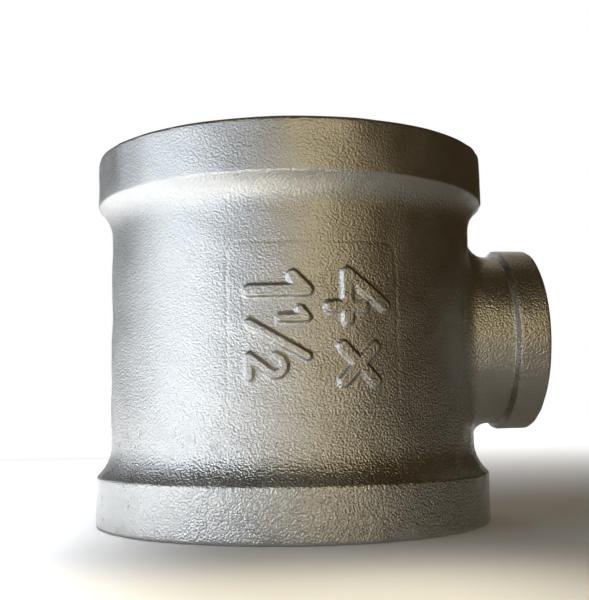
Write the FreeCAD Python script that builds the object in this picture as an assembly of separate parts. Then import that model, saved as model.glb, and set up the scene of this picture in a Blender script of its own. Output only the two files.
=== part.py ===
import FreeCAD, Part
import math
import os

# A 4 x 1-1/2 inch malleable iron reducing tee, cast in one piece.
# Its run stands upright along Z on the lower end face, whose centre is the origin.
# The smaller branch leaves the middle of the run along X. All sizes are in millimetres.

# Run, inside: the bore for the thread, and how much wider the chamber behind it is
RUN_BORE_RADIUS = 53.98
RUN_THREAD_LENGTH = 27.4
RUN_MOUTH_CHAMFER = 3.2
RUN_CHAMBER_RELIEF = 3.22

# Run, outside: the wall round the chamber, the bands, and the hollow shoulders beside them
RUN_WALL = 6.6
RUN_BAND_RISE = 4.8
RUN_BAND_WIDTH = 16.8
RUN_SHOULDER_LENGTH = 9.85
RUN_RIM_BEVEL = 1.3

# Branch, inside
BRANCH_BORE_RADIUS = 22.02
BRANCH_THREAD_LENGTH = 17.8
BRANCH_MOUTH_CHAMFER = 2.3
BRANCH_WATERWAY_RELIEF = 2.58

# Branch, outside
BRANCH_WALL = 5.9
BRANCH_BAND_RISE = 2.1
BRANCH_BAND_WIDTH = 10.6
BRANCH_SHOULDER_LENGTH = 2.3
BRANCH_RIM_BEVEL = 0.9

# Where the branch meets the run: the blends, and what stays plain beyond the outer one
NECK_BLEND = 5.5
WATERWAY_BLEND = 2.4
PLAIN_BODY_PAST_BLEND = 0.55
PLAIN_NECK_PAST_BLEND = 2.9

# How far a cutting shape passes the face that it opens, and how near an edge lies to a surface it is on
CUT_PAST = 2.0
ON_SURFACE = 0.01

# The radii add up outward from the two bores
RUN_CHAMBER_RADIUS = RUN_BORE_RADIUS + RUN_CHAMBER_RELIEF
RUN_BODY_RADIUS = RUN_CHAMBER_RADIUS + RUN_WALL
RUN_BAND_RADIUS = RUN_BODY_RADIUS + RUN_BAND_RISE
BRANCH_WATERWAY_RADIUS = BRANCH_BORE_RADIUS + BRANCH_WATERWAY_RELIEF
BRANCH_NECK_RADIUS = BRANCH_WATERWAY_RADIUS + BRANCH_WALL
BRANCH_BAND_RADIUS = BRANCH_NECK_RADIUS + BRANCH_BAND_RISE

# The lengths add up from the neck to the ends of the run, and from the body to the end of the branch
HALF_BODY = BRANCH_NECK_RADIUS + NECK_BLEND + PLAIN_BODY_PAST_BLEND
RUN_MIDDLE = HALF_BODY + RUN_SHOULDER_LENGTH + RUN_BAND_WIDTH
RUN_LENGTH = 2 * RUN_MIDDLE
NECK_END = RUN_BODY_RADIUS + NECK_BLEND + PLAIN_NECK_PAST_BLEND
BRANCH_BAND_START = NECK_END + BRANCH_SHOULDER_LENGTH
BRANCH_REACH = BRANCH_BAND_START + BRANCH_BAND_WIDTH

UP = FreeCAD.Vector(0, 0, 1)
OUT = FreeCAD.Vector(1, 0, 0)
ALONG_RUN = FreeCAD.Placement()
ALONG_BRANCH = FreeCAD.Placement(FreeCAD.Vector(0, 0, RUN_MIDDLE), FreeCAD.Rotation(UP, OUT))


def point(radius, height):
    """A corner of a profile: its distance from the axis, and its height along it."""
    return FreeCAD.Vector(radius, 0, height)


def sides(corners):
    """The straight edges that join a row of corners."""
    return Part.makePolygon(corners).Edges


def turned(edges, placement):
    """The solid that a closed profile sweeps in one turn about its own axis."""
    face = Part.Face(Part.Wire(edges))
    solid = face.revolve(FreeCAD.Vector(0, 0, 0), UP, 360)
    solid.Placement = placement
    return solid


def run_shoulder(toward_band):
    """The hollow arc's edge, tangent to the body where it leaves it, up to the corner of the band.

    toward_band is 1 at the upper shoulder and -1 at the lower one. The edge is a spline of the
    same shape as the arc, because its turned surface needs fewer facets than an arc's.
    """
    arc = (RUN_SHOULDER_LENGTH ** 2 + RUN_BAND_RISE ** 2) / (2 * RUN_BAND_RISE)
    half_turn = math.atan(RUN_BAND_RISE / RUN_SHOULDER_LENGTH)
    body_end = RUN_MIDDLE + toward_band * HALF_BODY
    middle_rise = arc * (1 - math.cos(half_turn))
    middle_along = arc * math.sin(half_turn)
    return Part.Arc(
        point(RUN_BODY_RADIUS, body_end),
        point(RUN_BODY_RADIUS + middle_rise, body_end + toward_band * middle_along),
        point(RUN_BAND_RADIUS, body_end + toward_band * RUN_SHOULDER_LENGTH),
    ).toBSpline().toShape()


def run_outside():
    """The barrel of the run: two bands, and between them a plain body with hollow shoulders."""
    low_band = [
        point(0, 0),
        point(RUN_BAND_RADIUS - RUN_RIM_BEVEL, 0),
        point(RUN_BAND_RADIUS, RUN_RIM_BEVEL),
        point(RUN_BAND_RADIUS, RUN_BAND_WIDTH),
    ]
    high_band = [point(corner.x, RUN_LENGTH - corner.z) for corner in reversed(low_band)]
    body = [point(RUN_BODY_RADIUS, RUN_MIDDLE - HALF_BODY), point(RUN_BODY_RADIUS, RUN_MIDDLE + HALF_BODY)]
    axis = [point(0, RUN_LENGTH), point(0, 0)]
    edges = sides(low_band) + [run_shoulder(-1)] + sides(body)
    edges += [run_shoulder(1)] + sides(high_band) + sides(axis)
    return turned(edges, ALONG_RUN)


def branch_outside():
    """The branch: a round neck from the run's axis, with a short slope up to the band at its end."""
    corners = [
        point(0, 0),
        point(BRANCH_NECK_RADIUS, 0),
        point(BRANCH_NECK_RADIUS, NECK_END),
        point(BRANCH_BAND_RADIUS, BRANCH_BAND_START),
        point(BRANCH_BAND_RADIUS, BRANCH_REACH - BRANCH_RIM_BEVEL),
        point(BRANCH_BAND_RADIUS - BRANCH_RIM_BEVEL, BRANCH_REACH),
        point(0, BRANCH_REACH),
        point(0, 0),
    ]
    return turned(sides(corners), ALONG_BRANCH)


def run_waterway():
    """The space in the run: chamfered mouths, two bores for the thread, and a wider chamber."""
    mouth = RUN_BORE_RADIUS + RUN_MOUTH_CHAMFER
    low = [
        point(mouth + CUT_PAST, -CUT_PAST),
        point(RUN_BORE_RADIUS, RUN_MOUTH_CHAMFER),
        point(RUN_BORE_RADIUS, RUN_THREAD_LENGTH),
        point(RUN_CHAMBER_RADIUS, RUN_THREAD_LENGTH + RUN_CHAMBER_RELIEF),
    ]
    high = [point(corner.x, RUN_LENGTH - corner.z) for corner in reversed(low)]
    axis = [point(0, RUN_LENGTH + CUT_PAST), point(0, -CUT_PAST)]
    return turned(sides(low + high + axis + low[:1]), ALONG_RUN)


def branch_waterway():
    """The space in the branch: a chamfered mouth, the bore for the thread, and a wider way in."""
    mouth = BRANCH_BORE_RADIUS + BRANCH_MOUTH_CHAMFER
    bore_end = BRANCH_REACH - BRANCH_THREAD_LENGTH
    corners = [
        point(mouth + CUT_PAST, BRANCH_REACH + CUT_PAST),
        point(BRANCH_BORE_RADIUS, BRANCH_REACH - BRANCH_MOUTH_CHAMFER),
        point(BRANCH_BORE_RADIUS, bore_end),
        point(BRANCH_WATERWAY_RADIUS, bore_end - BRANCH_WATERWAY_RELIEF),
        point(BRANCH_WATERWAY_RADIUS, 0),
        point(0, 0),
        point(0, BRANCH_REACH + CUT_PAST),
        point(mouth + CUT_PAST, BRANCH_REACH + CUT_PAST),
    ]
    return turned(sides(corners), ALONG_BRANCH)


def round_saddle(solid, branch_radius, run_radius, blend):
    """The solid with a rounding where a cylinder about the branch meets one about the run."""
    saddle = [edge for edge in solid.Edges if lies_on_both(edge, branch_radius, run_radius)]
    return solid.makeFillet(blend, saddle)


def lies_on_both(edge, branch_radius, run_radius):
    """Whether an edge, looked at in three places, lies on both of those cylinders."""
    for share in (0.15, 0.5, 0.85):
        spot = edge.valueAt(edge.FirstParameter + share * (edge.LastParameter - edge.FirstParameter))
        off_run = abs(math.hypot(spot.x, spot.y) - run_radius)
        off_branch = abs(math.hypot(spot.y, spot.z - RUN_MIDDLE) - branch_radius)
        if spot.x < 0 or max(off_run, off_branch) > ON_SURFACE:
            return False
    return True


def tee_body():
    """The whole casting: the blended outer form, with the blended waterways cut through it."""
    outside = run_outside().fuse(branch_outside())
    outside = round_saddle(outside, BRANCH_NECK_RADIUS, RUN_BODY_RADIUS, NECK_BLEND)
    waterways = run_waterway().fuse(branch_waterway())
    waterways = round_saddle(waterways, BRANCH_WATERWAY_RADIUS, RUN_CHAMBER_RADIUS, WATERWAY_BLEND)
    return outside.cut(waterways)


os.makedirs("parts", exist_ok=True)
tee = tee_body()
tee.exportStep("parts/tee_body.step")
print("valid", tee.isValid(), "solids", len(tee.Solids), "cubic centimetres", round(tee.Volume / 1e3, 2))
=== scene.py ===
import math
import bmesh
import bpy
import numpy as np
from mathutils import Matrix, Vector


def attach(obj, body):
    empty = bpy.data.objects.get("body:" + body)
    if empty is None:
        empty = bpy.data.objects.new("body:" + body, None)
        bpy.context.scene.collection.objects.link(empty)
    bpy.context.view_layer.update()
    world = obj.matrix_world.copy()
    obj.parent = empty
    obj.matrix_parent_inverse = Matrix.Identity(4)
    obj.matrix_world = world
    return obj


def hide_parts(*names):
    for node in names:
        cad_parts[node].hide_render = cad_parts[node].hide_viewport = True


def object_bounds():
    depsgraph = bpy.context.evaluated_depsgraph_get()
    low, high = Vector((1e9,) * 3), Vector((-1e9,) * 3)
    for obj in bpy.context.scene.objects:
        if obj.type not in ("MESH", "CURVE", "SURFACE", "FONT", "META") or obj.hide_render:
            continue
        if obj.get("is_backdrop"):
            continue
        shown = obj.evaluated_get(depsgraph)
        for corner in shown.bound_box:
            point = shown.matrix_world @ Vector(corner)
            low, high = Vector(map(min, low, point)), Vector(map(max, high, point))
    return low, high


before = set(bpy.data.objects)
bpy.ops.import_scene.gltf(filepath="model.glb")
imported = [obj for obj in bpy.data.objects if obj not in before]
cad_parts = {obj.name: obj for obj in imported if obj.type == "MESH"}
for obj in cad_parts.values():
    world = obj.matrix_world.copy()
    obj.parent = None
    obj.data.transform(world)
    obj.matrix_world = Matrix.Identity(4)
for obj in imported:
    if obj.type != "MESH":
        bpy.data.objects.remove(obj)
cad_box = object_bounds()

# The barrel of the tee, which is the run.
# Malleable iron poured in a green sand mould: two stout bands, and between them a plainer body with hollow
# shoulders. The sand leaves the skin slightly wavy, and the rims are rounded where the pattern draws.
RUN_LENGTH = 126.4
MIDDLE = RUN_LENGTH / 2
BODY_RADIUS = 63.8
BAND_RADIUS = 68.6
HALF_BODY = 36.55
HOLLOW_LENGTH = 9.85
BAND_CORNER = 1.4
RIM_CORNER = 1.3
CORNER_FROM = 16.1
CORNER_TO = 17.3
# Other grids fill two holes in the barrel's grid: the branch's window, and the one for the plate in front
WINDOW_TURN = math.radians(35)
WINDOW_RISE = 39.0
WINDOW_CELLS = 56
PLATE_TURN = math.radians(27)
PLATE_CELLS = 36
PLATE_ROWS_IN = 8
FRONT = math.radians(-90)
LEFT_CELLS = 139
RIGHT_CELLS = 19
RIM_ROWS = 6
BAND_ROWS = 10
CORNER_ROWS = 5
HOLLOW_ROWS = 7


def barrel_radius(height):
    """Radius of the barrel's outside at each height, measured in millimetres from the lower end.

    With h the distance from the middle: the body's radius up to HALF_BODY, then a hollow arc tangent to the
    body, then a small round tangent to the arc and the band, then the band, then a quarter round at the rim.
    """
    h = np.abs(np.asarray(height, float) - MIDDLE)
    rise = BAND_RADIUS - BODY_RADIUS
    hollow = (HOLLOW_LENGTH ** 2 + rise ** 2) / (2 * rise)
    across = BODY_RADIUS + hollow - (BAND_RADIUS - BAND_CORNER)
    along = math.sqrt((hollow + BAND_CORNER) ** 2 - across ** 2)
    round_start = HALF_BODY + hollow * along / (hollow + BAND_CORNER)
    round_end = HALF_BODY + along
    rim_start = MIDDLE - RIM_CORNER
    arc = BODY_RADIUS + hollow - np.sqrt(np.maximum(hollow ** 2 - (h - HALF_BODY) ** 2, 0))
    corner = BAND_RADIUS - BAND_CORNER + np.sqrt(np.maximum(BAND_CORNER ** 2 - (h - round_end) ** 2, 0))
    rim = BAND_RADIUS - RIM_CORNER + np.sqrt(np.maximum(RIM_CORNER ** 2 - (h - rim_start) ** 2, 0))
    zones = [h <= HALF_BODY, h <= round_start, h <= round_end, h <= rim_start]
    return np.select(zones, [BODY_RADIUS, arc, corner, BAND_RADIUS], rim)


def on_barrel(turn, height, radius):
    """Points at a turn about the upright axis, a height and a radius: (radius cos, radius sin, height)."""
    turn, height, radius = np.broadcast_arrays(turn, height, radius)
    return np.stack([radius * np.cos(turn), radius * np.sin(turn), height], axis=-1)


def spaced(start, stop, cells):
    """The starts of a number of equal cells between start and stop."""
    return np.linspace(start, stop, cells + 1)[:-1]


def grid_quads(index, closed):
    """Quads of a grid of point numbers: each point, its right neighbour and the two above them."""
    right = np.roll(index, -1, axis=1) if closed else index[:, 1:]
    left = index if closed else index[:, :-1]
    return np.stack([left[:-1], right[:-1], right[1:], left[1:]], axis=-1)


def window_ring(index, low, high, first, last):
    """Point numbers once round a rectangle of a grid, counter-clockwise from its lower left corner."""
    return np.concatenate([
        index[low, first:last],
        index[low:high, last],
        index[high, last:first:-1],
        index[high:low:-1, first],
    ])


def zip_rings(ring_a, at_a, ring_b, at_b):
    """Triangles between two closed rings of points with unequal counts.

    at_a and at_b say how far round each point is, from 0 to 1. Both rings are walked at once: every step on
    one ring makes a triangle with the point that the other ring has reached by then.
    """
    next_a = np.append(at_a[1:], at_a[0] + 1)
    next_b = np.append(at_b[1:], at_b[0] + 1)
    reached_b = (np.searchsorted(at_b, next_a % 1, side="right") - 1) % len(ring_b)
    reached_a = (np.searchsorted(at_a, next_b % 1, side="left") - 1) % len(ring_a)
    steps_a = np.stack([ring_a, np.roll(ring_a, -1), ring_b[reached_b]], axis=-1)
    steps_b = np.stack([np.roll(ring_b, -1), ring_b, ring_a[reached_a]], axis=-1)
    return np.concatenate([steps_a, steps_b])


points = []
faces = []
cut_faces = []


def place(new_points):
    """Adds a block of points to the casting and gives their numbers, in the same shape."""
    start = sum(len(block) for block in points)
    flat = new_points.reshape(-1, 3)
    points.append(flat)
    return np.arange(start, start + len(flat)).reshape(new_points.shape[:-1])


def skin(new_faces, cut=False):
    """Adds faces to the casting: cut ones were turned or threaded, and the others are as cast."""
    flat = new_faces.reshape(-1, new_faces.shape[-1])
    faces.append(flat)
    cut_faces.append(np.full(len(flat), cut))


full_turn = math.radians(360)
plate_from = FRONT + full_turn - PLATE_TURN
plate_to = FRONT + full_turn + PLATE_TURN
turns = np.concatenate([
    spaced(-WINDOW_TURN, WINDOW_TURN, WINDOW_CELLS),
    spaced(WINDOW_TURN, plate_from, LEFT_CELLS),
    spaced(plate_from, plate_to, PLATE_CELLS),
    spaced(plate_to, full_turn - WINDOW_TURN, RIGHT_CELLS),
])
lower_heights = np.concatenate([
    RIM_CORNER * (1 - np.cos(spaced(0, math.pi / 2, RIM_ROWS))),
    spaced(RIM_CORNER, CORNER_FROM, BAND_ROWS),
    spaced(CORNER_FROM, CORNER_TO, CORNER_ROWS),
    spaced(CORNER_TO, MIDDLE - WINDOW_RISE, HOLLOW_ROWS),
])
middle_heights = np.linspace(MIDDLE - WINDOW_RISE, MIDDLE + WINDOW_RISE, WINDOW_CELLS + 1)
heights = np.concatenate([lower_heights, middle_heights, RUN_LENGTH - lower_heights[::-1]])
barrel = place(on_barrel(turns[None, :], heights[:, None], barrel_radius(heights)[:, None]))
branch_low = len(lower_heights)
branch_high = branch_low + WINDOW_CELLS
plate_low = branch_low + PLATE_ROWS_IN
plate_high = branch_high - PLATE_ROWS_IN
plate_first = WINDOW_CELLS + LEFT_CELLS
plate_last = plate_first + PLATE_CELLS
barrel_quads = grid_quads(barrel, closed=True)
kept = np.ones(barrel_quads.shape[:2], bool)
kept[branch_low:branch_high, :WINDOW_CELLS] = False
kept[plate_low:plate_high, plate_first:plate_last] = False
skin(barrel_quads[kept])

# The marked plate in front.
# The pattern has a loose plate let into it that carries the size in raised figures, so a faint line round it
# and the figures are cast with the barrel: strokes with drafted sides and round ends.
FIGURE_RISE = 1.3
FIGURE_DRAFT = 0.85
FIGURE_SHIFT = 2.2
LARGE_STROKE = 1.9
TIMES_STROKE = 1.79
SMALL_STROKE = 1.4
# Each stroke is its half width and a broken line, across and up from the middle of the figures
FIGURES = [
    (LARGE_STROKE, [(-6.5, 20.9), (-16.2, 8.8), (-2.3, 8.8)]),
    (LARGE_STROKE, [(-6, 13.9), (-6, 3.5)]),
    (TIMES_STROKE, [(5.8, 7.2), (16.2, 17.4)]),
    (TIMES_STROKE, [(5.8, 17.4), (16.2, 7.2)]),
    (LARGE_STROKE, [(-15.3, -7.7), (-11.1, -3.7), (-11.1, -20.9)]),
    (SMALL_STROKE, [(-5.3, -5.8), (-2.8, -3.7), (-2.8, -11.6)]),
    (SMALL_STROKE, [(-1.4, -20.9), (8.6, -3.7)]),
    (SMALL_STROKE, [(8.6, -13), (9.3, -11.5), (10.9, -10.6), (12.6, -10.8), (13.9, -12.2), (13.9, -13.9),
                    (8.6, -20.9), (14.6, -20.9)]),
]
OUTLINE_MIDDLE = (0.95, 0.5)
OUTLINE_HALF = (26.8, 25.7)
OUTLINE_CORNER = 4.0
OUTLINE_DEPTH = 0.10
OUTLINE_WIDTH = 0.45
PLATE_GRID = (160, 150)
NEARLY_NONE = 1e-9


def stroke_distance(across, up, ends):
    """Distance of each point of the plate from a broken line: the least of those to its straight parts."""
    nearest = np.full(across.shape, np.inf)
    for (ax, ay), (bx, by) in zip(ends[:-1], ends[1:]):
        length = (bx - ax) ** 2 + (by - ay) ** 2
        share = np.clip(((across - ax) * (bx - ax) + (up - ay) * (by - ay)) / length, 0, 1)
        away = np.hypot(across - ax - share * (bx - ax), up - ay - share * (by - ay))
        nearest = np.minimum(nearest, away)
    return nearest


def smooth_step(value):
    """0 below 0, 1 above 1, and a smooth S between."""
    held = np.clip(value, 0, 1)
    return held * held * (3 - 2 * held)


def plate_relief(arc, rise):
    """How far the plate stands above the plain body, from the distance round it and up it from its middle.

    The figures read downward with their tops toward the branch, so across is minus the rise and up is the
    arc. Each stroke is FIGURE_RISE high within its half width and falls to nothing over the draft. The line
    round the plate is a narrow groove along a rectangle with rounded corners.
    """
    relief = np.zeros(arc.shape)
    for half_width, ends in FIGURES:
        away = stroke_distance(-rise, arc - FIGURE_SHIFT, ends)
        relief = np.maximum(relief, FIGURE_RISE * smooth_step((half_width - away) / FIGURE_DRAFT + 0.5))
    out_arc = np.abs(arc - OUTLINE_MIDDLE[0]) - OUTLINE_HALF[0] + OUTLINE_CORNER
    out_rise = np.abs(rise - OUTLINE_MIDDLE[1]) - OUTLINE_HALF[1] + OUTLINE_CORNER
    outside = np.hypot(np.maximum(out_arc, 0), np.maximum(out_rise, 0))
    edge = outside + np.minimum(np.maximum(out_arc, out_rise), 0) - OUTLINE_CORNER
    return relief - OUTLINE_DEPTH * np.exp(-(edge / OUTLINE_WIDTH) ** 2)


def grid_edge(index):
    """Point numbers once round a whole grid, in the order that window_ring gives."""
    return window_ring(index, 0, index.shape[0] - 1, 0, index.shape[1] - 1)


def edge_shares(shape):
    """How far round each edge point of a grid of this shape is, from 0 to 1, walked as window_ring does.

    across and up run from -1 to 1 over the grid, and each side in turn is a quarter of the way round.
    """
    across, up = np.meshgrid(np.linspace(-1, 1, shape[1]), np.linspace(-1, 1, shape[0]))
    edge = grid_edge(np.arange(across.size).reshape(shape))
    across = across.ravel()[edge]
    up = up.ravel()[edge]
    full = 1 - NEARLY_NONE
    on_lower = (up <= -full) & (across < full)
    on_right = (across >= full) & (up < full)
    on_upper = (up >= full) & (across > -full)
    side = np.select([on_lower, on_right, on_upper], [0, 1, 2], 3)
    share = np.select([side == 0, side == 1, side == 2], [across + 1, up + 1, 1 - across], 1 - up) / 2
    return (side + share) / 4


# The plate's outermost points lie one step inside the edge of its hole, and triangles join the two
plate_turns = np.linspace(FRONT - PLATE_TURN, FRONT + PLATE_TURN, PLATE_GRID[0] + 3)[1:-1]
plate_heights = np.linspace(heights[plate_low], heights[plate_high], PLATE_GRID[1] + 3)[1:-1]
plate_turn, plate_height = np.meshgrid(plate_turns, plate_heights)
relief = plate_relief((plate_turn - FRONT) * BODY_RADIUS, plate_height - MIDDLE)
plate = place(on_barrel(plate_turn, plate_height, BODY_RADIUS + relief))
skin(grid_quads(plate, closed=False))
hole_edge = window_ring(barrel, plate_low, plate_high, plate_first, plate_last)
hole_shape = (plate_high - plate_low + 1, PLATE_CELLS + 1)
skin(zip_rings(hole_edge, edge_shares(hole_shape), grid_edge(plate), edge_shares(plate.shape)))

# The branch.
# The smaller outlet is cast in one with the barrel. A rolling blend joins its neck to the body, and a short
# slope leads up to the band at its end.
BRANCH_REACH = 85.1
NECK_RADIUS = 30.5
BRANCH_BAND_RADIUS = 32.6
NECK_BLEND = 7.0
STEP_START = 73.2
STEP_END = 74.5
NECK_END = STEP_START - 1.0
BRANCH_RIM = 0.9
STEP_ROUNDING = 0.4
BAND_ROUNDING = 0.45
RIM_ROUNDING = BRANCH_RIM - 0.001
ARC_POINTS = 6
AROUND = 4 * WINDOW_CELLS
FIRST_CORNER = -math.pi * 3 / 4
APRON_ROWS = 5
BLEND_ROWS = 12
NECK_ROWS = 8
BRANCH_BAND_CELLS = 8


def rolled_blend(around, run_radius, branch_radius, blend, rows):
    """The surface a ball of radius blend leaves as it rolls along both the barrel and the branch.

    The ball's centre is blend outside both cylinders. At each place round the branch the surface is the
    ball's arc from where it touches the barrel to where it touches the branch, spaced evenly by angle.
    """
    beside = (branch_radius + blend) * np.sin(around)
    above = (branch_radius + blend) * np.cos(around)
    out = np.sqrt((run_radius + blend) ** 2 - beside ** 2)
    centre = np.stack([out, beside, above], axis=-1)
    to_run = -np.stack([out, beside, np.zeros_like(out)], axis=-1) / (run_radius + blend)
    to_branch = -np.stack([np.zeros_like(out), np.sin(around), np.cos(around)], axis=-1)
    between = np.arccos(np.clip(np.sum(to_run * to_branch, axis=-1), -1, 1))[None, :, None]
    share = np.linspace(0, 1, rows)[:, None, None]
    ball = (np.sin((1 - share) * between) * to_run + np.sin(share * between) * to_branch) / np.sin(between)
    return centre + blend * ball + np.array([0, 0, MIDDLE])


def about_branch(around, reach, radius):
    """Points at an angle about the branch's axis from the upward side, a reach along it and a radius."""
    around, reach, radius = np.broadcast_arrays(around, reach, radius)
    return np.stack([reach, radius * np.sin(around), MIDDLE + radius * np.cos(around)], axis=-1)


def rounded_path(corners, roundings, steps):
    """A broken line with its corners rounded: each becomes an arc tangent to both of its straight parts.

    The arc starts and ends rounding times the tangent of half the turn away from the corner.
    """
    path = [np.array(corners[:1], float)]
    for before, corner, after, rounding in zip(corners[:-2], corners[1:-1], corners[2:], roundings):
        before, corner, after = (np.array(spot, float) for spot in (before, corner, after))
        come = (corner - before) / np.linalg.norm(corner - before)
        leave = (after - corner) / np.linalg.norm(after - corner)
        turn = math.acos(np.clip(come @ leave, -1, 1))
        start = corner - come * rounding * math.tan(turn / 2)
        inward = leave - come * (come @ leave)
        inward = inward / np.linalg.norm(inward)
        swing = np.linspace(0, turn, steps)[:, None]
        path.append(start + rounding * (np.sin(swing) * come + (1 - np.cos(swing)) * inward))
    path.append(np.array(corners[-1:], float))
    return np.concatenate(path)


def spread_ring(ring_a, ring_b, rows):
    """Evenly spaced rows from one ring of points to another: a times 1 - share, plus b times share.

    Rings of turn and height give rows that run straight on the unrolled barrel.
    """
    share = np.linspace(0, 1, rows)[:, None, None]
    return ring_a * (1 - share) + ring_b * share


def unrolled(ring_points):
    """Turn about the upright axis, and height, of points near the branch."""
    return np.stack([np.arctan2(ring_points[..., 1], ring_points[..., 0]), ring_points[..., 2]], axis=-1)


def even_turns(count):
    """The angles of a number of equal steps once round, from 0."""
    return np.arange(count) * 2 * math.pi / count


around = FIRST_CORNER - even_turns(AROUND)
blend = rolled_blend(around, BODY_RADIUS, NECK_RADIUS, NECK_BLEND, BLEND_ROWS)
window_edge = window_ring(barrel, branch_low, branch_high, 0, WINDOW_CELLS)
window_points = np.concatenate(points)[window_edge]
apron = spread_ring(unrolled(window_points), unrolled(blend[0]), APRON_ROWS)
apron_points = on_barrel(apron[..., 0], apron[..., 1], barrel_radius(apron[..., 1]))
blend[0] = apron_points[-1]
skin(grid_quads(place(apron_points), closed=True))
skin(grid_quads(place(blend), closed=True))
neck = spread_ring(blend[-1], about_branch(around, NECK_END, NECK_RADIUS), NECK_ROWS)
skin(grid_quads(place(neck), closed=True))
outline = rounded_path(
    [(NECK_END, NECK_RADIUS), (STEP_START, NECK_RADIUS), (STEP_END, BRANCH_BAND_RADIUS),
     (BRANCH_REACH, BRANCH_BAND_RADIUS), (BRANCH_REACH, BRANCH_BAND_RADIUS - BRANCH_RIM)],
    [STEP_ROUNDING, BAND_ROUNDING, RIM_ROUNDING], ARC_POINTS)
band_start = 2 * ARC_POINTS
band_rows = np.linspace(outline[band_start], outline[band_start + 1], BRANCH_BAND_CELLS + 1)[1:-1]
outline = np.concatenate([outline[:band_start], band_rows, outline[band_start + 1:-1]])
branch_band = place(about_branch(around[None, :], outline[:, :1], outline[:, 1:]))
skin(grid_quads(branch_band, closed=True))

# The three threaded mouths.
# Each end is faced square, chamfered and tapped with a right-hand taper pipe thread: 8 turns to the inch in
# the run and 11 1/2 in the branch. They are bare iron, because they are cut after the casting is made.
TAPER = 1 / 32
# A tap's mouth, crest and relief are radii: at the face, inside the thread there, and of the space behind.
# Its end is how far in the run-out ends, and around is the points in a turn.
RUN_TAP = dict(pitch=3.175, mouth=57.18, crest=54.45, depth=2.54, relief=57.2, end=30.62, around=192)
BRANCH_TAP = dict(pitch=2.2087, mouth=24.32, crest=22.26, depth=1.767, relief=24.6, end=20.38, around=128)
# The rows of one thread: how far along the pitch each is, and its share of the depth
THREAD_ROWS = ((-0.05, 1.0), (0.05, 1.0), (0.25, 0.5), (0.45, 0.0), (0.55, 0.0), (0.75, 0.5))
# A mouth is its centre, two directions across it, and the direction inward
LOWER_MOUTH = ((0, 0, 0), (1, 0, 0), (0, 1, 0), (0, 0, 1))
UPPER_MOUTH = ((0, 0, RUN_LENGTH), (1, 0, 0), (0, -1, 0), (0, 0, -1))
BRANCH_MOUTH = ((BRANCH_REACH, 0, MIDDLE), (0, 0, 1), (0, 1, 0), (-1, 0, 0))


def about_mouth(swing, side_a, side_b):
    """Directions at an angle about a mouth's axis: cos times side a plus sin times side b."""
    swing = swing[..., None]
    return np.cos(swing) * np.array(side_a, float) + np.sin(swing) * np.array(side_b, float)


def tapped_mouth(tap, face_centre, side_a, side_b, inward):
    """A threaded mouth as rows that climb one pitch in each turn, from the end face inward.

    The radius is the thread's, which narrows by TAPER, or the 45 degree mouth chamfer or run-out where that
    is wider. The rows of each pitch give a flat root, a flank, a flat crest and a flank. They are stopped at
    the face and at the end of the run-out.
    """
    count = len(THREAD_ROWS)
    row = np.arange(-count, int(tap["end"] / tap["pitch"] + 2) * count)
    start = np.array([phase for phase, _ in THREAD_ROWS])[row % count] + row // count
    into_root = np.array([share for _, share in THREAD_ROWS])[row % count]
    step = np.arange(tap["around"] + 1) / tap["around"]
    into = np.clip((start[:, None] + step[None, :]) * tap["pitch"], 0, tap["end"])
    thread = tap["crest"] - into * TAPER + into_root[:, None] * tap["depth"]
    radius = np.maximum(thread, np.maximum(tap["mouth"] - into, tap["relief"] - tap["end"] + into))
    side = about_mouth(2 * math.pi * step, side_a, side_b)
    on_face = np.array(face_centre, float) + radius[..., None] * side
    return on_face + into[..., None] * np.array(inward, float)


def mouth_lip(tap, face_centre, side_a, side_b):
    """The ring of points where a mouth opens in its end face."""
    side = about_mouth(even_turns(tap["around"]), side_a, side_b)
    return np.array(face_centre, float) + tap["mouth"] * side


def face_ring(outer, outer_turn, inner, inner_turn):
    """The flat ring of an end face, zipped between the rim's points and the mouth's, walked the same way."""
    outer_share = outer_turn / (2 * math.pi) % 1
    inner_share = inner_turn / (2 * math.pi) % 1
    outer_order = np.argsort(outer_share)
    inner_order = np.argsort(inner_share)
    return zip_rings(
        outer[outer_order], outer_share[outer_order], inner[inner_order], inner_share[inner_order])


ends = [
    (RUN_TAP, LOWER_MOUTH, barrel[0], turns, 1),
    (RUN_TAP, UPPER_MOUTH, barrel[-1], turns, -1),
    (BRANCH_TAP, BRANCH_MOUTH, branch_band[-1], around, 1),
]
for tap, mouth, *_ in ends:
    skin(grid_quads(place(tapped_mouth(tap, *mouth)), closed=False), cut=True)
for tap, mouth, rim, rim_turn, way in ends:
    lip = place(mouth_lip(tap, *mouth[:3]))
    skin(face_ring(rim, rim_turn, lip, way * even_turns(tap["around"])), cut=True)

# The waterway.
# A sand core leaves the chamber behind the threads as cast, with a small rounding where it opens into the
# branch.
CHAMBER_RADIUS = RUN_TAP["relief"]
WATERWAY_RADIUS = BRANCH_TAP["relief"]
WATERWAY_BLEND = 2.4
CHAMBER_FROM = 32.2
OPENING_RISE = 29.5
OPENING_CELLS = 32
INNER_APRON_ROWS = 4
INNER_BLEND_ROWS = 7
WATERWAY_ROWS = 7
chamber_start = [RUN_TAP["end"], CHAMBER_FROM]
chamber_heights = np.concatenate([
    chamber_start,
    np.linspace(MIDDLE - OPENING_RISE, MIDDLE + OPENING_RISE, OPENING_CELLS + 1),
    [RUN_LENGTH - CHAMBER_FROM, RUN_LENGTH - RUN_TAP["end"]],
])
opening_low = len(chamber_start)
opening_high = opening_low + OPENING_CELLS
chamber_turns = (np.arange(RUN_TAP["around"]) - OPENING_CELLS // 2) * 2 * math.pi / RUN_TAP["around"]
chamber = place(on_barrel(chamber_turns[None, :], chamber_heights[:, None], CHAMBER_RADIUS))
chamber_quads = grid_quads(chamber, closed=True)
chamber_kept = np.ones(chamber_quads.shape[:2], bool)
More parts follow.
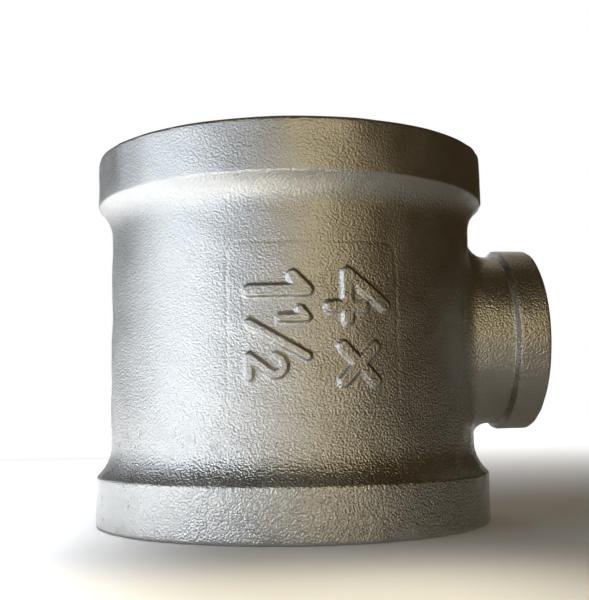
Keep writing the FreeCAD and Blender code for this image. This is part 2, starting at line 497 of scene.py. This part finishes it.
chamber_kept[opening_low:opening_high, :OPENING_CELLS] = False
skin(chamber_quads[chamber_kept])
inner_around = FIRST_CORNER - even_turns(4 * OPENING_CELLS)
inner_blend = rolled_blend(inner_around, CHAMBER_RADIUS, WATERWAY_RADIUS, WATERWAY_BLEND, INNER_BLEND_ROWS)
opening_points = np.concatenate(points)[window_ring(chamber, opening_low, opening_high, 0, OPENING_CELLS)]
inner_apron = spread_ring(unrolled(opening_points), unrolled(inner_blend[0]), INNER_APRON_ROWS)
skin(grid_quads(place(on_barrel(inner_apron[..., 0], inner_apron[..., 1], CHAMBER_RADIUS)), closed=True))
skin(grid_quads(place(inner_blend), closed=True))
waterway_end = about_branch(inner_around, BRANCH_REACH - BRANCH_TAP["end"], WATERWAY_RADIUS)
skin(grid_quads(place(spread_ring(inner_blend[-1], waterway_end, WATERWAY_ROWS)), closed=True))

# The casting as one closed piece.
# Everything above is one lump of iron, so its surfaces are joined here, and the skin that the sand left is
# given its low waves and the ground line where the halves of the mould met.
MM = 0.001
PER_METRE = 1000
# In metres: points this near are one, and edges this short are dropped
MERGE_WITHIN = 2e-6
SMALLEST_EDGE = 1e-7
# In millimetres, as all of the casting's sizes
WAVES = 9
WAVE_LENGTHS = (8, 34)
WAVE_HEIGHT = 0.12
PARTING_HEIGHT = 0.12
PARTING_HALF_WIDTH = 1.1
PARTING_WAVES = (3.1, 7.3, 5.0)
NICK_HEIGHT = 0.5
NICK_HALF_HEIGHT = 1.4
# Each knock is its turn in degrees, its half length round the rim and its depth
NICKS = [
    (-100.5, 1.9, 0.55),
    (-69.5, 2.6, 0.7),
    (-65.5, 1.6, 0.45),
    (-128, 1.7, 0.4),
    (150, 2.4, 0.6),
    (64, 1.9, 0.5),
]
# Only points farther than these from the axes are skin, and near an end face they keep to its plane
SKIN_FROM_RUN = 60.5
SKIN_FROM_BRANCH = 27.5
FACE_FADE = 2.5
NO_DIVIDING_BY_ZERO = 1e-6


def sand_waves(spots):
    """Low waves of a cast skin: a sum of sine waves in all directions, 8 to 34 millimetres long.

    The sum is held below 1.2 WAVE_HEIGHT and lowered by that, so that the skin never stands proud.
    """
    chance = np.random.default_rng(7)
    total = np.zeros(len(spots))
    for length in np.geomspace(*WAVE_LENGTHS, WAVES):
        direction = chance.normal(size=3)
        direction = direction / np.linalg.norm(direction)
        total += np.sin(2 * math.pi * (spots @ direction) / length + chance.uniform(0, 2 * math.pi))
    crest = 1.2 * WAVE_HEIGHT
    return np.minimum(total * WAVE_HEIGHT / math.sqrt(WAVES), crest) - crest


def parting_line(spots):
    """Height of the ground line: full near the mould's plane, none at twice its half width, and uneven.

    It is PARTING_HEIGHT times 0.6, plus 0.4 times a product of two sine waves along it.
    """
    line = PARTING_HEIGHT * smooth_step(2 - np.abs(spots[:, 1]) / PARTING_HALF_WIDTH)
    short, long, sideways = PARTING_WAVES
    line *= 0.6 + 0.4 * np.sin(spots[:, 2] / short) * np.sin(spots[:, 2] / long + spots[:, 0] / sideways)
    return line


def rim_nicks(turn, height):
    """Depth of the knocks in the lower rim: each is a bell, round the rim and up it."""
    depth = np.zeros(turn.shape)
    for nick_turn, half_length, nick_depth in NICKS:
        along = (turn - math.radians(nick_turn)) * BAND_RADIUS / half_length
        depth += nick_depth * np.exp(-along ** 2 - ((height - NICK_HEIGHT) / NICK_HALF_HEIGHT) ** 2)
    return depth


def cast_piece(name):
    """One closed mesh of all the surfaces, with shared points merged and every face turned outward."""
    mesh = bpy.data.meshes.new(name)
    spots = np.concatenate(points) * MM
    blocks = [pair for size in (4, 3) for pair in zip(faces, cut_faces) if pair[0].shape[1] == size]
    corners = np.concatenate([block.ravel() for block, _ in blocks])
    sizes = np.concatenate([np.full(len(block), block.shape[1]) for block, _ in blocks])
    cut = np.concatenate([flags for _, flags in blocks])
    mesh.vertices.add(len(spots))
    mesh.vertices.foreach_set("co", spots.ravel())
    mesh.loops.add(len(corners))
    mesh.loops.foreach_set("vertex_index", corners)
    mesh.polygons.add(len(sizes))
    mesh.polygons.foreach_set("loop_start", np.concatenate([[0], np.cumsum(sizes)[:-1]]))
    mesh.polygons.foreach_set("material_index", cut.astype(int))
    mesh.update(calc_edges=True)
    shape = bmesh.new()
    shape.from_mesh(mesh)
    bmesh.ops.remove_doubles(shape, verts=shape.verts, dist=MERGE_WITHIN)
    bmesh.ops.dissolve_degenerate(shape, edges=shape.edges, dist=SMALLEST_EDGE)
    bmesh.ops.recalc_face_normals(shape, faces=shape.faces)
    open_edges = sum(len(edge.link_faces) != 2 for edge in shape.edges)
    print("casting: open edges", open_edges, "faces", len(shape.faces))
    shape.to_mesh(mesh)
    shape.free()
    mesh.shade_smooth()
    piece = bpy.data.objects.new(name, mesh)
    bpy.context.scene.collection.objects.link(piece)
    return piece


def roughen(piece):
    """Moves the outer skin by the sand waves, the parting line and the nicks, and leaves the cut faces flat.

    A point moves along its normal, and near an end face along the radius alone, so that the rim stays in its
    plane.
    """
    mesh = piece.data
    spots = np.zeros(len(mesh.vertices) * 3, np.float32)
    normals = np.zeros(len(mesh.vertices) * 3, np.float32)
    mesh.vertices.foreach_get("co", spots)
    mesh.vertex_normals.foreach_get("vector", normals)
    spots = spots.reshape(-1, 3).astype(float) * PER_METRE
    normals = normals.reshape(-1, 3).astype(float)
    from_run = np.hypot(spots[:, 0], spots[:, 1])
    from_branch = np.hypot(spots[:, 1], spots[:, 2] - MIDDLE)
    outside = (from_run > SKIN_FROM_RUN) & ((from_branch > SKIN_FROM_BRANCH) | (spots[:, 0] < 0))
    to_face = np.minimum(np.minimum(spots[:, 2], RUN_LENGTH - spots[:, 2]), BRANCH_REACH - spots[:, 0])
    held = smooth_step(to_face / FACE_FADE)[:, None]
    across_axis = np.where((spots[:, 0] > STEP_START)[:, None], [[0, 1, 1]], [[1, 1, 0]])
    from_axis = across_axis * (spots - [0, 0, MIDDLE])
    radial = from_axis / np.maximum(np.linalg.norm(from_axis, axis=1), NO_DIVIDING_BY_ZERO)[:, None]
    way = normals * held + radial * (1 - held)
    nicks = rim_nicks(np.arctan2(spots[:, 1], spots[:, 0]), spots[:, 2])
    move = outside * (sand_waves(spots) + parting_line(spots) * held[:, 0] - nicks)
    mesh.vertices.foreach_set("co", ((spots + way * move[:, None]) * MM).ravel())
    mesh.update()


tee = cast_piece("tee_casting")
roughen(tee)

# Hot-dip zinc over a sand-cast skin.
# Soft grey metal with a fine leathery grain, the print of the sand. It is deepest at the foot and fainter
# toward the upper band, where the sand was packed harder, and the zinc lies over it in faint patches.
# Sizes are in metres from here on. One bump of the grain is the print of a few grains of sand.
GRAIN_SIZE = 0.00068
GRAIN_DEPTH = 0.00043
PATCH_SIZE = 0.009
FOOT = 0.005
BLUR_FROM = 0.03
UPPER_BAND = 0.118
# The numbers of the colour sockets of a Mix node
COLOUR_A = 6
COLOUR_B = 7
MIXED_COLOUR = 2


def linear(hex_colour):
    """A colour written as sRGB hex, turned linear for the shader."""
    parts = [int(hex_colour[i:i + 2], 16) / 255 for i in (1, 3, 5)]
    return (*(part / 12.92 if part <= 0.04045 else ((part + 0.055) / 1.055) ** 2.4 for part in parts), 1)


def add_node(tree, kind, options=None, values=None, links=None):
    """Adds one node: options are its settings, values go to its inputs, and links are outputs to join."""
    node = tree.nodes.new(kind)
    for name, value in (options or {}).items():
        setattr(node, name, value)
    for name, value in (values or {}).items():
        node.inputs[name].default_value = value
    for name, output in (links or {}).items():
        tree.links.new(output, node.inputs[name])
    return node


def new_material(name):
    """An empty material with its node tree, and the output node."""
    material = bpy.data.materials.new(name)
    material.use_nodes = True
    material.node_tree.nodes.clear()
    return material, material.node_tree, material.node_tree.nodes.new("ShaderNodeOutputMaterial")


def tone_between(tree, factor, colour_a, colour_b):
    """An output that runs from one sRGB colour to another as the factor runs from 0 to 1."""
    node = add_node(
        tree, "ShaderNodeMix", options={"data_type": "RGBA"},
        values={COLOUR_A: linear(colour_a), COLOUR_B: linear(colour_b)}, links={"Factor": factor})
    return node.outputs[MIXED_COLOUR]


def ramp(tree, value, start, end, low, high, kind="LINEAR"):
    """An output that runs from low to high as the value runs from start to end, and is held beyond them."""
    node = add_node(
        tree, "ShaderNodeMapRange", options={"interpolation_type": kind},
        values={"From Min": start, "From Max": end, "To Min": low, "To Max": high}, links={"Value": value})
    return node.outputs["Result"]


def calculate(tree, operation, first, second):
    """The output of a sum, a product or the like of two outputs."""
    node = add_node(tree, "ShaderNodeMath", options={"operation": operation}, links={0: first, 1: second})
    return node.outputs[0]


zinc, tree, output = new_material("hot_dip_zinc_on_cast_iron")
place_on = add_node(tree, "ShaderNodeTexCoord").outputs["Object"]
stretched = add_node(
    tree, "ShaderNodeMapping", values={"Scale": (1.0, 1.0, 1.12)}, links={"Vector": place_on})
grain = add_node(
    tree, "ShaderNodeTexNoise",
    values={"Scale": 1 / GRAIN_SIZE, "Detail": 0.7, "Roughness": 0.6, "Distortion": 0.1},
    links={"Vector": stretched.outputs["Vector"]})
patches = add_node(
    tree, "ShaderNodeTexNoise",
    values={"Scale": 1 / PATCH_SIZE, "Detail": 3.0, "Roughness": 0.6, "Distortion": 0.4},
    links={"Vector": place_on}).outputs["Fac"]
height_up = add_node(tree, "ShaderNodeSeparateXYZ", links={"Vector": place_on}).outputs["Z"]
gloss = ramp(tree, patches, 0.35, 0.65, 0.27, 0.33)
fine_blur = ramp(tree, height_up, BLUR_FROM, UPPER_BAND, 0.0, 0.08)
bump = add_node(
    tree, "ShaderNodeBump", values={"Distance": GRAIN_DEPTH},
    links={"Height": grain.outputs["Fac"], "Strength": ramp(tree, height_up, FOOT, UPPER_BAND, 1.0, 0.43)})
shader = add_node(
    tree, "ShaderNodeBsdfPrincipled", values={"Metallic": 1.0},
    links={"Base Color": tone_between(tree, patches, "#C0C0BE", "#D1D1CE"),
           "Roughness": calculate(tree, "ADD", gloss, fine_blur), "Normal": bump.outputs["Normal"]})
tree.links.new(shader.outputs["BSDF"], output.inputs["Surface"])

# Turned and tapped malleable iron.
# Bare grey metal with fine tool lines round each mouth, under a film of oil that is smeared in places.
SMEAR_SIZE = 0.004
# Real tool lines are about 0.3 mm apart, which is too fine to show, so these are three times as coarse
TOOL_LINE_WIDTH = 0.0009
TOOL_LINE_DEPTH = 0.00009
# Cut faces farther out than this are taken for the branch's, and their lines go round its axis
CUT_FOR_BRANCH_FROM = 0.0645
# The numbers of the plain sockets of a Mix node
NUMBER_A = 2
NUMBER_B = 3
cut_iron, tree, output = new_material("turned_malleable_iron")
place_on = add_node(tree, "ShaderNodeTexCoord").outputs["Object"]
smear = add_node(
    tree, "ShaderNodeTexNoise", values={"Scale": 1 / SMEAR_SIZE, "Detail": 3.0, "Roughness": 0.6},
    links={"Vector": place_on})
run_axis = add_node(
    tree, "ShaderNodeVectorMath", options={"operation": "MULTIPLY"}, values={1: (1, 1, 0)},
    links={0: place_on})
from_run = add_node(
    tree, "ShaderNodeVectorMath", options={"operation": "LENGTH"}, links={0: run_axis.outputs["Vector"]})
branch_axis = add_node(
    tree, "ShaderNodeVectorMath", options={"operation": "MULTIPLY_ADD"},
    values={1: (0, 1, 1), 2: (0, 0, -MIDDLE * MM)}, links={0: place_on})
from_branch = add_node(
    tree, "ShaderNodeVectorMath", options={"operation": "LENGTH"}, links={0: branch_axis.outputs["Vector"]})
reach = add_node(tree, "ShaderNodeSeparateXYZ", links={"Vector": place_on}).outputs["X"]
in_branch = add_node(
    tree, "ShaderNodeMath", options={"operation": "GREATER_THAN"}, values={1: CUT_FOR_BRANCH_FROM},
    links={0: reach})
ring_at = add_node(
    tree, "ShaderNodeMix",
    links={"Factor": in_branch.outputs[0], NUMBER_A: from_run.outputs["Value"],
           NUMBER_B: from_branch.outputs["Value"]})
rings = add_node(
    tree, "ShaderNodeTexNoise", options={"noise_dimensions": "1D"},
    values={"Scale": 1 / TOOL_LINE_WIDTH, "Detail": 2.0, "Roughness": 0.6}, links={"W": ring_at.outputs[0]})
bump = add_node(
    tree, "ShaderNodeBump", values={"Strength": 1.0, "Distance": TOOL_LINE_DEPTH},
    links={"Height": rings.outputs["Fac"]})
shader = add_node(
    tree, "ShaderNodeBsdfPrincipled", values={"Metallic": 1.0, "Roughness": 0.3},
    links={"Base Color": tone_between(tree, smear.outputs["Fac"], "#B4B2AD", "#C8C6C1"),
           "Normal": bump.outputs["Normal"]})
tree.links.new(shader.outputs["BSDF"], output.inputs["Surface"])
tee.data.materials.append(zinc)
tee.data.materials.append(cut_iron)
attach(tee, "root")
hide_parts("tee_body")

# The studio.
# A pale floor and a small pale wall. The wall is white to the eye and in reflections where the camera sees
# it.
# The floor has a painted glow, seen the same way: white far behind the tee, faint near it, and fading to
# none at its right, so the floor there stays in painted shade. Broad cool lamps stand on the left, weaker
# warm ones beside the camera, one high behind and two over the floor.
WHITE = (1, 1, 1, 1)


def flat_panel(name, centre, along_a, along_b):
    """A rectangle about its centre, from half of it along each of two directions."""
    centre, along_a, along_b = (np.array(part, float) for part in (centre, along_a, along_b))
    corners = [centre - along_a - along_b, centre + along_a - along_b, centre + along_a + along_b,
               centre - along_a + along_b]
    mesh = bpy.data.meshes.new(name)
    mesh.from_pydata([tuple(corner) for corner in corners], [], [(0, 1, 2, 3)])
    panel = bpy.data.objects.new(name, mesh)
    bpy.context.scene.collection.objects.link(panel)
    panel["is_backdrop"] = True
    return panel


def soft_lamp(name, place_at, aim_at, size, radiance, colour, spread=180):
    """A rectangular lamp that faces a point. Its power is radiance times pi times its area."""
    light = bpy.data.lights.new(name, "AREA")
    light.shape = "RECTANGLE"
    light.size, light.size_y = size
    light.energy = radiance * math.pi * size[0] * size[1]
    light.color = linear(colour)[:3]
    light.spread = math.radians(spread)
    lamp = bpy.data.objects.new(name, light)
    aim = np.array(aim_at, float) - np.array(place_at, float)
    aside = math.hypot(aim[0], aim[1])
    lamp.location = place_at
    lamp.rotation_euler = (math.atan2(aside, -aim[2]), 0, -math.atan2(aim[0], aim[1]) if aside else 0)
    bpy.context.scene.collection.objects.link(lamp)
    return lamp


def shown_to_eye(tree):
    """An output that is 1 where the camera, a reflection or a clear thing sees the surface, and else 0."""
    ray = add_node(tree, "ShaderNodeLightPath")
    seen = calculate(tree, "MAXIMUM", ray.outputs["Is Camera Ray"], ray.outputs["Is Glossy Ray"])
    return calculate(tree, "MAXIMUM", seen, ray.outputs["Is Transmission Ray"])


floor = flat_panel("studio_floor", (0, 0.4, -0.0001), (3, 0, 0), (0, 3, 0))
floor_board, tree, output = new_material("pale_floor_painted_glow")
board = add_node(
    tree, "ShaderNodeBsdfPrincipled", values={"Base Color": linear("#F1F1EF"), "Roughness": 0.7})
floor_place = add_node(tree, "ShaderNodeTexCoord").outputs["Object"]
behind = add_node(tree, "ShaderNodeSeparateXYZ", links={"Vector": floor_place}).outputs["Y"]
beside = add_node(
    tree, "ShaderNodeVectorMath", options={"operation": "DOT_PRODUCT"}, values={1: (1, -0.41, 0)},
    links={0: floor_place}).outputs["Value"]
# Painted light: this glow's strength is painted by place. It is strong far behind the tee, faint near it,
# and fades out toward the tee's right, so the floor there, and its reflection in the tee, stay in painted
# shade.
painted_glow_behind = ramp(tree, behind, 0.0, 0.65, 0.03, 1.0, "SMOOTHSTEP")
painted_glow_fade_right = ramp(tree, beside, 0.12, 0.4, 1.0, 0.0, "SMOOTHSTEP")
share = calculate(tree, "MULTIPLY", painted_glow_behind, painted_glow_fade_right)
painted_floor_glow = add_node(
    tree, "ShaderNodeEmission", values={"Color": WHITE},
    links={"Strength": calculate(tree, "MULTIPLY", share, shown_to_eye(tree))})
both = add_node(tree, "ShaderNodeAddShader", links={0: board.outputs["BSDF"], 1: painted_floor_glow.outputs["Emission"]})
tree.links.new(both.outputs["Shader"], output.inputs["Surface"])
floor.data.materials.append(floor_board)

wall = flat_panel("studio_wall", (0.16, 1.6, 0.5), (0.65, 0, 0), (0, 0, 0.52))
wall_paper, tree, output = new_material("pale_wall_paper")
matt = add_node(tree, "ShaderNodeBsdfDiffuse", values={"Color": linear("#EDEDEB")})
white = add_node(tree, "ShaderNodeEmission", values={"Color": WHITE, "Strength": 1.0})
seen = add_node(
    tree, "ShaderNodeMixShader",
    links={0: shown_to_eye(tree), 1: matt.outputs["BSDF"], 2: white.outputs["Emission"]})
tree.links.new(seen.outputs["Shader"], output.inputs["Surface"])
wall.data.materials.append(wall_paper)

soft_lamp("key_lamp", (-0.72, -0.21, 0.10), (0, 0, 0.10), (0.95, 0.18), 2.3, "#EEF5FF")
soft_lamp("upper_key_lamp", (-0.72, -0.21, 0.36), (0, 0, 0.06), (0.95, 0.32), 1.6, "#E8F3FF")
soft_lamp("side_fill_lamp", (-0.325, -0.676, 0.10), (0, 0, 0.10), (0.33, 0.18), 0.85, "#B4CAFF")
soft_lamp("warm_fill_lamp", (0.08, -0.745, 0.25), (0, 0, 0.06), (0.45, 0.48), 0.95, "#FFEABC")
soft_lamp("left_floor_lamp", (-0.26, 0.0, 0.5), (-0.26, 0.0, 0), (0.37, 0.78), 1.9, "#F5F8FF", 14)
soft_lamp("front_floor_lamp", (-0.03, -0.19, 0.5), (-0.03, -0.19, 0), (0.17, 0.16), 0.83, "#FFF3D9", 12)
soft_lamp("rear_left_lamp", (-0.62, 0.62, 0.16), (0, 0, 0.08), (0.6, 0.3), 0.53, "#ECF5FF")
soft_lamp("upper_side_fill_lamp", (-0.325, -0.676, 0.36), (0, 0, 0.06), (0.33, 0.32), 0.42, "#FFFEEC")
soft_lamp("right_warm_lamp", (0.4, -0.62, 0.12), (0, 0, 0.06), (0.3, 0.24), 0.22, "#FFCF80")
soft_lamp("rear_top_lamp", (0.05, 0.62, 0.85), (0, 0, 0.12), (0.8, 0.5), 0.48, "#FFF0D8")
world = bpy.data.worlds.new("dim_room")
world.use_nodes = True
world.node_tree.nodes["Background"].inputs["Color"].default_value = linear("#B4945F")
world.node_tree.nodes["Background"].inputs["Strength"].default_value = 0.08
bpy.context.scene.world = world

# The camera.
# It stands where the photograph was taken: 354 mm from the tee's middle, a little left of square, and 40 mm
# above the floor. Its lens is 980 of the picture's pixels long, and the picture is 589 wide.
CAMERA_TURN = math.radians(-5.73)
CAMERA_RISE = math.radians(-6.12)
CAMERA_ROLL = math.radians(-0.73)
CAMERA_BACK = 0.3537
CAMERA_RIGHT = 0.00109
CAMERA_UP = 0.01477
LENS_PIXELS = 980
PICTURE_PIXELS = 589
SENSOR_WIDTH = 36
back = np.array([
    math.sin(CAMERA_TURN) * math.cos(CAMERA_RISE), -math.cos(CAMERA_TURN) * math.cos(CAMERA_RISE),
    math.sin(CAMERA_RISE)])
level = np.cross(-back, (0, 0, 1))
level = level / np.linalg.norm(level)
upright = np.cross(level, -back)
right = level * math.cos(CAMERA_ROLL) + upright * math.sin(CAMERA_ROLL)
up = upright * math.cos(CAMERA_ROLL) - level * math.sin(CAMERA_ROLL)
stand = back * CAMERA_BACK + right * CAMERA_RIGHT + up * CAMERA_UP + np.array([0, 0, MIDDLE * MM])
lens = bpy.data.cameras.new("photo_camera")
lens.sensor_fit = "HORIZONTAL"
lens.sensor_width = SENSOR_WIDTH
lens.lens = LENS_PIXELS * SENSOR_WIDTH / PICTURE_PIXELS
lens.clip_start = 0.01
camera = bpy.data.objects.new("photo_camera", lens)
rows = np.eye(4)
rows[:3, 0] = right
rows[:3, 1] = up
rows[:3, 2] = back
rows[:3, 3] = stand
camera.matrix_world = Matrix(rows.tolist())
bpy.context.scene.collection.objects.link(camera)
bpy.context.scene.camera = camera
bpy.context.scene.view_settings.view_transform = "Standard"

[[list(corner) for corner in box] for box in (cad_box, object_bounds())]
